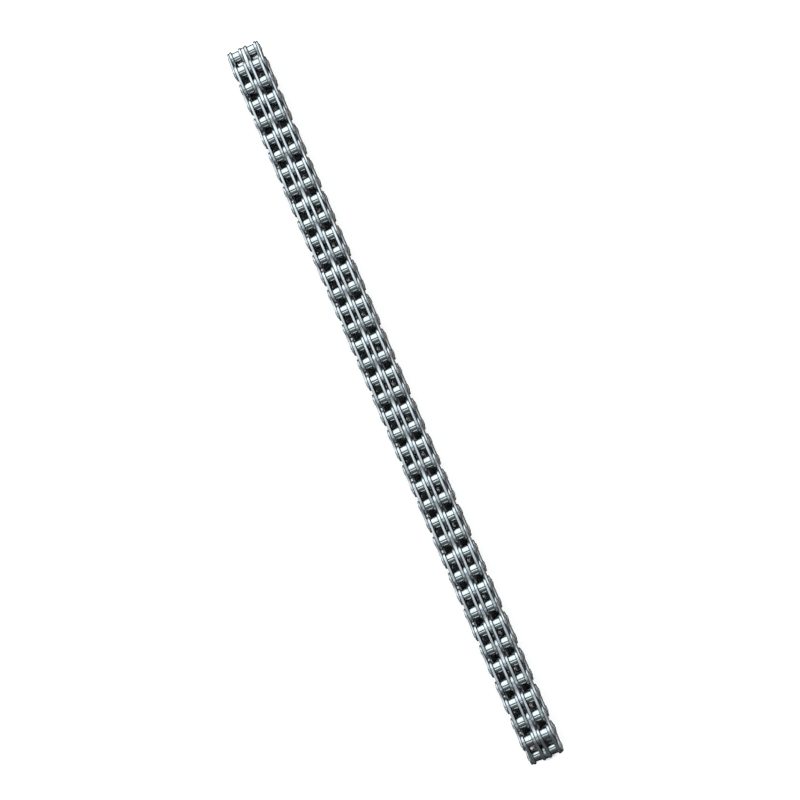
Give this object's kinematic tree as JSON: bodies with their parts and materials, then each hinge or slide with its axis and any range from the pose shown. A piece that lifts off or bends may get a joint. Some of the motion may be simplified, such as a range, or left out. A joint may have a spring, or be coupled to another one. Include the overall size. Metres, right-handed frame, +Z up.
{
  "type": "timing chain",
  "caption": "Endless double-row roller timing chain with inner links, outer links, centre plates and riveted pins, folded flat, that drives camshaft sprockets.",
  "frame": {"origin": "under the middle of the folded loop, on the surface that the lower run rests on", "axes": "+X along the chain, Y along the pins, +Z up from the lower run to the upper run"},
  "size_m": [0.3862, 0.0178, 0.0182],
  "materials": {
    "outer_link_steel": "tumbled satin plates and riveted pins with a faint warm tint",
    "inner_link_steel": "satin plates and polished rollers with a light film of oil",
    "link_pair_steel": "satin plates, polished rollers and riveted pins"
  },
  "bodies": {
    "outer_link_01": {"outer_link_01": "outer_link_steel"},
    "inner_link_02": {"inner_link_02": "inner_link_steel"},
    "outer_link_03": {"outer_link_03": "outer_link_steel"},
    "inner_link_04": {"inner_link_04": "inner_link_steel"},
    "outer_link_05": {"outer_link_05": "outer_link_steel"},
    "inner_link_06": {"inner_link_06": "inner_link_steel"},
    "outer_link_07": {"outer_link_07": "outer_link_steel"},
    "inner_link_08": {"inner_link_08": "inner_link_steel"},
    "outer_link_09": {"outer_link_09": "outer_link_steel"},
    "link_pair_10_11": {"link_pair_10_11": "link_pair_steel"},
    "link_pair_12_13": {"link_pair_12_13": "link_pair_steel"},
    "link_pair_14_15": {"link_pair_14_15": "link_pair_steel"},
    "link_pair_16_17": {"link_pair_16_17": "link_pair_steel"},
    "link_pair_18_19": {"link_pair_18_19": "link_pair_steel"},
    "link_pair_20_21": {"link_pair_20_21": "link_pair_steel"},
    "link_pair_22_23": {"link_pair_22_23": "link_pair_steel"},
    "link_pair_24_25": {"link_pair_24_25": "link_pair_steel"},
    "link_pair_26_27": {"link_pair_26_27": "link_pair_steel"},
    "link_pair_28_29": {"link_pair_28_29": "link_pair_steel"},
    "inner_link_30": {"inner_link_30": "inner_link_steel"},
    "outer_link_31": {"outer_link_31": "outer_link_steel"},
    "inner_link_32": {"inner_link_32": "inner_link_steel"},
    "outer_link_33": {"outer_link_33": "outer_link_steel"},
    "inner_link_34": {"inner_link_34": "inner_link_steel"},
    "outer_link_35": {"outer_link_35": "outer_link_steel"},
    "inner_link_36": {"inner_link_36": "inner_link_steel"},
    "outer_link_37": {"outer_link_37": "outer_link_steel"},
    "inner_link_38": {"inner_link_38": "inner_link_steel"},
    "outer_link_39": {"outer_link_39": "outer_link_steel"},
    "inner_link_40": {"inner_link_40": "inner_link_steel"},
    "outer_link_41": {"outer_link_41": "outer_link_steel"},
    "inner_link_42": {"inner_link_42": "inner_link_steel"},
    "outer_link_43": {"outer_link_43": "outer_link_steel"},
    "inner_link_44": {"inner_link_44": "inner_link_steel"},
    "outer_link_45": {"outer_link_45": "outer_link_steel"},
    "inner_link_46": {"inner_link_46": "inner_link_steel"},
    "outer_link_47": {"outer_link_47": "outer_link_steel"},
    "inner_link_48": {"inner_link_48": "inner_link_steel"},
    "outer_link_49": {"outer_link_49": "outer_link_steel"},
    "link_pair_50_51": {"link_pair_50_51": "link_pair_steel"},
    "link_pair_52_53": {"link_pair_52_53": "link_pair_steel"},
    "link_pair_54_55": {"link_pair_54_55": "link_pair_steel"},
    "link_pair_56_57": {"link_pair_56_57": "link_pair_steel"},
    "link_pair_58_59": {"link_pair_58_59": "link_pair_steel"},
    "link_pair_60_61": {"link_pair_60_61": "link_pair_steel"},
    "link_pair_62_63": {"link_pair_62_63": "link_pair_steel"},
    "link_pair_64_65": {"link_pair_64_65": "link_pair_steel"},
    "link_pair_66_67": {"link_pair_66_67": "link_pair_steel"},
    "link_pair_68_69": {"link_pair_68_69": "link_pair_steel"},
    "inner_link_70": {"inner_link_70": "inner_link_steel"},
    "outer_link_71": {"outer_link_71": "outer_link_steel"},
    "inner_link_72": {"inner_link_72": "inner_link_steel"},
    "outer_link_73": {"outer_link_73": "outer_link_steel"},
    "inner_link_74": {"inner_link_74": "inner_link_steel"},
    "outer_link_75": {"outer_link_75": "outer_link_steel"},
    "inner_link_76": {"inner_link_76": "inner_link_steel"},
    "outer_link_77": {"outer_link_77": "outer_link_steel"},
    "inner_link_78": {"inner_link_78": "inner_link_steel"},
    "outer_link_79": {"outer_link_79": "outer_link_steel"},
    "inner_link_80": {"inner_link_80": "inner_link_steel"}
  },
  "joints": [
    {"name": "pin_21_22", "type": "hinge", "parent": "link_pair_20_21", "child": "link_pair_22_23", "pos_m": [0.01817, 0, 0.00413], "axis": [0, -1, 0], "range_deg": [0, 9]},
    {"name": "pin_23_24", "type": "hinge", "parent": "link_pair_22_23", "child": "link_pair_24_25", "pos_m": [0.03722, 0, 0.00413], "axis": [0, -1, 0], "range_deg": [0, 9]},
    {"name": "pin_25_26", "type": "hinge", "parent": "link_pair_24_25", "child": "link_pair_26_27", "pos_m": [0.05627, 0, 0.00413], "axis": [0, -1, 0], "range_deg": [0, 9]},
    {"name": "pin_27_28", "type": "hinge", "parent": "link_pair_26_27", "child": "link_pair_28_29", "pos_m": [0.07532, 0, 0.00413], "axis": [0, -1, 0], "range_deg": [0, 9]},
    {"name": "pin_29_30", "type": "hinge", "parent": "link_pair_28_29", "child": "inner_link_30", "pos_m": [0.09437, 0, 0.00413], "axis": [0, -1, 0], "range_deg": [0, 6.75]},
    {"name": "pin_30_31", "type": "hinge", "parent": "inner_link_30", "child": "outer_link_31", "pos_m": [0.1039, 0, 0.00413], "axis": [0, -1, 0], "range_deg": [0, 4.5]},
    {"name": "pin_31_32", "type": "hinge", "parent": "outer_link_31", "child": "inner_link_32", "pos_m": [0.11342, 0, 0.00413], "axis": [0, -1, 0], "range_deg": [0, 4.5]},
    {"name": "loop_opens", "type": "hinge", "parent": "inner_link_32", "child": "outer_link_33", "pos_m": [0.12295, 0, 0.00413], "axis": [0, -1, 0], "range_deg": [0, 4.5]},
    {"name": "pin_33_34", "type": "hinge", "parent": "outer_link_33", "child": "inner_link_34", "pos_m": [0.13247, 0, 0.00413], "axis": [0, -1, 0], "range_deg": [0, 4.5]},
    {"name": "pin_34_35", "type": "hinge", "parent": "inner_link_34", "child": "outer_link_35", "pos_m": [0.142, 0, 0.00413], "axis": [0, -1, 0], "range_deg": [0, 4.5]},
    {"name": "pin_35_36", "type": "hinge", "parent": "outer_link_35", "child": "inner_link_36", "pos_m": [0.15152, 0, 0.00413], "axis": [0, -1, 0], "range_deg": [0, 4.5]},
    {"name": "pin_36_37", "type": "hinge", "parent": "inner_link_36", "child": "outer_link_37", "pos_m": [0.16105, 0, 0.00413], "axis": [0, -1, 0], "range_deg": [0, 4.5]},
    {"name": "pin_37_38", "type": "hinge", "parent": "outer_link_37", "child": "inner_link_38", "pos_m": [0.17057, 0, 0.00413], "axis": [0, -1, 0], "range_deg": [0, 4.5]},
    {"name": "pin_38_39", "type": "hinge", "parent": "inner_link_38", "child": "outer_link_39", "pos_m": [0.1801, 0, 0.00413], "axis": [0, 1, 0], "range_deg": [0, 17.49]},
    {"name": "pin_39_40", "type": "hinge", "parent": "outer_link_39", "child": "inner_link_40", "pos_m": [0.18893, 0, 0.0077], "axis": [0, 1, 0], "range_deg": [0, 111.51]},
    {"name": "pin_40_41", "type": "hinge", "parent": "inner_link_40", "child": "outer_link_41", "pos_m": [0.18185, 0, 0.01407], "axis": [0, 1, 0], "range_deg": [0, 37.49]},
    {"name": "pin_41_42", "type": "hinge", "parent": "outer_link_41", "child": "inner_link_42", "pos_m": [0.17233, 0, 0.01407], "axis": [0, -1, 0], "range_deg": [0, 4.5]},
    {"name": "pin_42_43", "type": "hinge", "parent": "inner_link_42", "child": "outer_link_43", "pos_m": [0.1628, 0, 0.01407], "axis": [0, -1, 0], "range_deg": [0, 4.5]},
    {"name": "pin_43_44", "type": "hinge", "parent": "outer_link_43", "child": "inner_link_44", "pos_m": [0.15328, 0, 0.01407], "axis": [0, -1, 0], "range_deg": [0, 4.5]},
    {"name": "pin_44_45", "type": "hinge", "parent": "inner_link_44", "child": "outer_link_45", "pos_m": [0.14375, 0, 0.01407], "axis": [0, -1, 0], "range_deg": [0, 4.5]},
    {"name": "pin_45_46", "type": "hinge", "parent": "outer_link_45", "child": "inner_link_46", "pos_m": [0.13423, 0, 0.01407], "axis": [0, -1, 0], "range_deg": [0, 4.5]},
    {"name": "pin_46_47", "type": "hinge", "parent": "inner_link_46", "child": "outer_link_47", "pos_m": [0.1247, 0, 0.01407], "axis": [0, -1, 0], "range_deg": [0, 4.5]},
    {"name": "pin_47_48", "type": "hinge", "parent": "outer_link_47", "child": "inner_link_48", "pos_m": [0.11518, 0, 0.01407], "axis": [0, -1, 0], "range_deg": [0, 4.5]},
    {"name": "pin_48_49", "type": "hinge", "parent": "inner_link_48", "child": "outer_link_49", "pos_m": [0.10565, 0, 0.01407], "axis": [0, -1, 0], "range_deg": [0, 4.5]},
    {"name": "pin_49_50", "type": "hinge", "parent": "outer_link_49", "child": "link_pair_50_51", "pos_m": [0.09613, 0, 0.01407], "axis": [0, -1, 0], "range_deg": [0, 6.75]},
    {"name": "pin_51_52", "type": "hinge", "parent": "link_pair_50_51", "child": "link_pair_52_53", "pos_m": [0.07708, 0, 0.01407], "axis": [0, -1, 0], "range_deg": [0, 9]},
    {"name": "pin_53_54", "type": "hinge", "parent": "link_pair_52_53", "child": "link_pair_54_55", "pos_m": [0.05803, 0, 0.01407], "axis": [0, -1, 0], "range_deg": [0, 9]},
    {"name": "pin_55_56", "type": "hinge", "parent": "link_pair_54_55", "child": "link_pair_56_57", "pos_m": [0.03898, 0, 0.01407], "axis": [0, -1, 0], "range_deg": [0, 9]},
    {"name": "pin_57_58", "type": "hinge", "parent": "link_pair_56_57", "child": "link_pair_58_59", "pos_m": [0.01993, 0, 0.01407], "axis": [0, -1, 0], "range_deg": [0, 9]},
    {"name": "pin_19_20", "type": "hinge", "parent": "link_pair_20_21", "child": "link_pair_18_19", "pos_m": [-0.00088, 0, 0.00413], "axis": [0, 1, 0], "range_deg": [0, 9]},
    {"name": "pin_17_18", "type": "hinge", "parent": "link_pair_18_19", "child": "link_pair_16_17", "pos_m": [-0.01993, 0, 0.00413], "axis": [0, 1, 0], "range_deg": [0, 9]},
    {"name": "pin_15_16", "type": "hinge", "parent": "link_pair_16_17", "child": "link_pair_14_15", "pos_m": [-0.03898, 0, 0.00413], "axis": [0, 1, 0], "range_deg": [0, 9]},
    {"name": "pin_13_14", "type": "hinge", "parent": "link_pair_14_15", "child": "link_pair_12_13", "pos_m": [-0.05803, 0, 0.00413], "axis": [0, 1, 0], "range_deg": [0, 9]},
    {"name": "pin_11_12", "type": "hinge", "parent": "link_pair_12_13", "child": "link_pair_10_11", "pos_m": [-0.07708, 0, 0.00413], "axis": [0, 1, 0], "range_deg": [0, 9]},
    {"name": "pin_09_10", "type": "hinge", "parent": "link_pair_10_11", "child": "outer_link_09", "pos_m": [-0.09613, 0, 0.00413], "axis": [0, 1, 0], "range_deg": [0, 6.75]},
    {"name": "pin_08_09", "type": "hinge", "parent": "outer_link_09", "child": "inner_link_08", "pos_m": [-0.10565, 0, 0.00413], "axis": [0, 1, 0], "range_deg": [0, 4.5]},
    {"name": "pin_07_08", "type": "hinge", "parent": "inner_link_08", "child": "outer_link_07", "pos_m": [-0.11518, 0, 0.00413], "axis": [0, 1, 0], "range_deg": [0, 4.5]},
    {"name": "pin_06_07", "type": "hinge", "parent": "outer_link_07", "child": "inner_link_06", "pos_m": [-0.1247, 0, 0.00413], "axis": [0, 1, 0], "range_deg": [0, 4.5]},
    {"name": "pin_05_06", "type": "hinge", "parent": "inner_link_06", "child": "outer_link_05", "pos_m": [-0.13423, 0, 0.00413], "axis": [0, 1, 0], "range_deg": [0, 4.5]},
    {"name": "pin_04_05", "type": "hinge", "parent": "outer_link_05", "child": "inner_link_04", "pos_m": [-0.14375, 0, 0.00413], "axis": [0, 1, 0], "range_deg": [0, 4.5]},
    {"name": "pin_03_04", "type": "hinge", "parent": "inner_link_04", "child": "outer_link_03", "pos_m": [-0.15328, 0, 0.00413], "axis": [0, 1, 0], "range_deg": [0, 4.5]},
    {"name": "pin_02_03", "type": "hinge", "parent": "outer_link_03", "child": "inner_link_02", "pos_m": [-0.1628, 0, 0.00413], "axis": [0, 1, 0], "range_deg": [0, 4.5]},
    {"name": "pin_01_02", "type": "hinge", "parent": "inner_link_02", "child": "outer_link_01", "pos_m": [-0.17233, 0, 0.00413], "axis": [0, 1, 0], "range_deg": [0, 4.5]},
    {"name": "pin_80_01", "type": "hinge", "parent": "outer_link_01", "child": "inner_link_80", "pos_m": [-0.18185, 0, 0.00413], "axis": [0, -1, 0], "range_deg": [0, 37.49]},
    {"name": "pin_79_80", "type": "hinge", "parent": "inner_link_80", "child": "outer_link_79", "pos_m": [-0.18893, 0, 0.0105], "axis": [0, -1, 0], "range_deg": [0, 111.51]},
    {"name": "pin_78_79", "type": "hinge", "parent": "outer_link_79", "child": "inner_link_78", "pos_m": [-0.1801, 0, 0.01407], "axis": [0, -1, 0], "range_deg": [0, 17.49]},
    {"name": "pin_77_78", "type": "hinge", "parent": "inner_link_78", "child": "outer_link_77", "pos_m": [-0.17057, 0, 0.01407], "axis": [0, 1, 0], "range_deg": [0, 4.5]},
    {"name": "pin_76_77", "type": "hinge", "parent": "outer_link_77", "child": "inner_link_76", "pos_m": [-0.16105, 0, 0.01407], "axis": [0, 1, 0], "range_deg": [0, 4.5]},
    {"name": "pin_75_76", "type": "hinge", "parent": "inner_link_76", "child": "outer_link_75", "pos_m": [-0.15152, 0, 0.01407], "axis": [0, 1, 0], "range_deg": [0, 4.5]},
    {"name": "pin_74_75", "type": "hinge", "parent": "outer_link_75", "child": "inner_link_74", "pos_m": [-0.142, 0, 0.01407], "axis": [0, 1, 0], "range_deg": [0, 4.5]},
    {"name": "pin_73_74", "type": "hinge", "parent": "inner_link_74", "child": "outer_link_73", "pos_m": [-0.13247, 0, 0.01407], "axis": [0, 1, 0], "range_deg": [0, 4.5]},
    {"name": "pin_72_73", "type": "hinge", "parent": "outer_link_73", "child": "inner_link_72", "pos_m": [-0.12295, 0, 0.01407], "axis": [0, 1, 0], "range_deg": [0, 4.5]},
    {"name": "pin_71_72", "type": "hinge", "parent": "inner_link_72", "child": "outer_link_71", "pos_m": [-0.11342, 0, 0.01407], "axis": [0, 1, 0], "range_deg": [0, 4.5]},
    {"name": "pin_70_71", "type": "hinge", "parent": "outer_link_71", "child": "inner_link_70", "pos_m": [-0.1039, 0, 0.01407], "axis": [0, 1, 0], "range_deg": [0, 4.5]},
    {"name": "pin_69_70", "type": "hinge", "parent": "inner_link_70", "child": "link_pair_68_69", "pos_m": [-0.09437, 0, 0.01407], "axis": [0, 1, 0], "range_deg": [0, 6.75]},
    {"name": "pin_67_68", "type": "hinge", "parent": "link_pair_68_69", "child": "link_pair_66_67", "pos_m": [-0.07532, 0, 0.01407], "axis": [0, 1, 0], "range_deg": [0, 9]},
    {"name": "pin_65_66", "type": "hinge", "parent": "link_pair_66_67", "child": "link_pair_64_65", "pos_m": [-0.05627, 0, 0.01407], "axis": [0, 1, 0], "range_deg": [0, 9]},
    {"name": "pin_63_64", "type": "hinge", "parent": "link_pair_64_65", "child": "link_pair_62_63", "pos_m": [-0.03722, 0, 0.01407], "axis": [0, 1, 0], "range_deg": [0, 9]},
    {"name": "pin_61_62", "type": "hinge", "parent": "link_pair_62_63", "child": "link_pair_60_61", "pos_m": [-0.01817, 0, 0.01407], "axis": [0, 1, 0], "range_deg": [0, 9]}
  ],
  "couplings": [
    {"joint": "pin_21_22", "follows": "loop_opens", "ratio": 2},
    {"joint": "pin_23_24", "follows": "loop_opens", "ratio": 2},
    {"joint": "pin_25_26", "follows": "loop_opens", "ratio": 2},
    {"joint": "pin_27_28", "follows": "loop_opens", "ratio": 2},
    {"joint": "pin_29_30", "follows": "loop_opens", "ratio": 1.5},
    {"joint": "pin_30_31", "follows": "loop_opens", "ratio": 1},
    {"joint": "pin_31_32", "follows": "loop_opens", "ratio": 1},
    {"joint": "pin_33_34", "follows": "loop_opens", "ratio": 1},
    {"joint": "pin_34_35", "follows": "loop_opens", "ratio": 1},
    {"joint": "pin_35_36", "follows": "loop_opens", "ratio": 1},
    {"joint": "pin_36_37", "follows": "loop_opens", "ratio": 1},
    {"joint": "pin_37_38", "follows": "loop_opens", "ratio": 1},
    {"joint": "pin_38_39", "follows": "loop_opens", "ratio": 3.8873},
    {"joint": "pin_39_40", "follows": "loop_opens", "ratio": 24.781},
    {"joint": "pin_40_41", "follows": "loop_opens", "ratio": 8.3318},
    {"joint": "pin_41_42", "follows": "loop_opens", "ratio": 1},
    {"joint": "pin_42_43", "follows": "loop_opens", "ratio": 1},
    {"joint": "pin_43_44", "follows": "loop_opens", "ratio": 1},
    {"joint": "pin_44_45", "follows": "loop_opens", "ratio": 1},
    {"joint": "pin_45_46", "follows": "loop_opens", "ratio": 1},
    {"joint": "pin_46_47", "follows": "loop_opens", "ratio": 1},
    {"joint": "pin_47_48", "follows": "loop_opens", "ratio": 1},
    {"joint": "pin_48_49", "follows": "loop_opens", "ratio": 1},
    {"joint": "pin_49_50", "follows": "loop_opens", "ratio": 1.5},
    {"joint": "pin_51_52", "follows": "loop_opens", "ratio": 2},
    {"joint": "pin_53_54", "follows": "loop_opens", "ratio": 2},
    {"joint": "pin_55_56", "follows": "loop_opens", "ratio": 2},
    {"joint": "pin_57_58", "follows": "loop_opens", "ratio": 2},
    {"joint": "pin_19_20", "follows": "loop_opens", "ratio": 2},
    {"joint": "pin_17_18", "follows": "loop_opens", "ratio": 2},
    {"joint": "pin_15_16", "follows": "loop_opens", "ratio": 2},
    {"joint": "pin_13_14", "follows": "loop_opens", "ratio": 2},
    {"joint": "pin_11_12", "follows": "loop_opens", "ratio": 2},
    {"joint": "pin_09_10", "follows": "loop_opens", "ratio": 1.5},
    {"joint": "pin_08_09", "follows": "loop_opens", "ratio": 1},
    {"joint": "pin_07_08", "follows": "loop_opens", "ratio": 1},
    {"joint": "pin_06_07", "follows": "loop_opens", "ratio": 1},
    {"joint": "pin_05_06", "follows": "loop_opens", "ratio": 1},
    {"joint": "pin_04_05", "follows": "loop_opens", "ratio": 1},
    {"joint": "pin_03_04", "follows": "loop_opens", "ratio": 1},
    {"joint": "pin_02_03", "follows": "loop_opens", "ratio": 1},
    {"joint": "pin_01_02", "follows": "loop_opens", "ratio": 1},
    {"joint": "pin_80_01", "follows": "loop_opens", "ratio": 8.3318},
    {"joint": "pin_79_80", "follows": "loop_opens", "ratio": 24.781},
    {"joint": "pin_78_79", "follows": "loop_opens", "ratio": 3.8873},
    {"joint": "pin_77_78", "follows": "loop_opens", "ratio": 1},
    {"joint": "pin_76_77", "follows": "loop_opens", "ratio": 1},
    {"joint": "pin_75_76", "follows": "loop_opens", "ratio": 1},
    {"joint": "pin_74_75", "follows": "loop_opens", "ratio": 1},
    {"joint": "pin_73_74", "follows": "loop_opens", "ratio": 1},
    {"joint": "pin_72_73", "follows": "loop_opens", "ratio": 1},
    {"joint": "pin_71_72", "follows": "loop_opens", "ratio": 1},
    {"joint": "pin_70_71", "follows": "loop_opens", "ratio": 1},
    {"joint": "pin_69_70", "follows": "loop_opens", "ratio": 1.5},
    {"joint": "pin_67_68", "follows": "loop_opens", "ratio": 2},
    {"joint": "pin_65_66", "follows": "loop_opens", "ratio": 2},
    {"joint": "pin_63_64", "follows": "loop_opens", "ratio": 2},
    {"joint": "pin_61_62", "follows": "loop_opens", "ratio": 2}
  ]
}
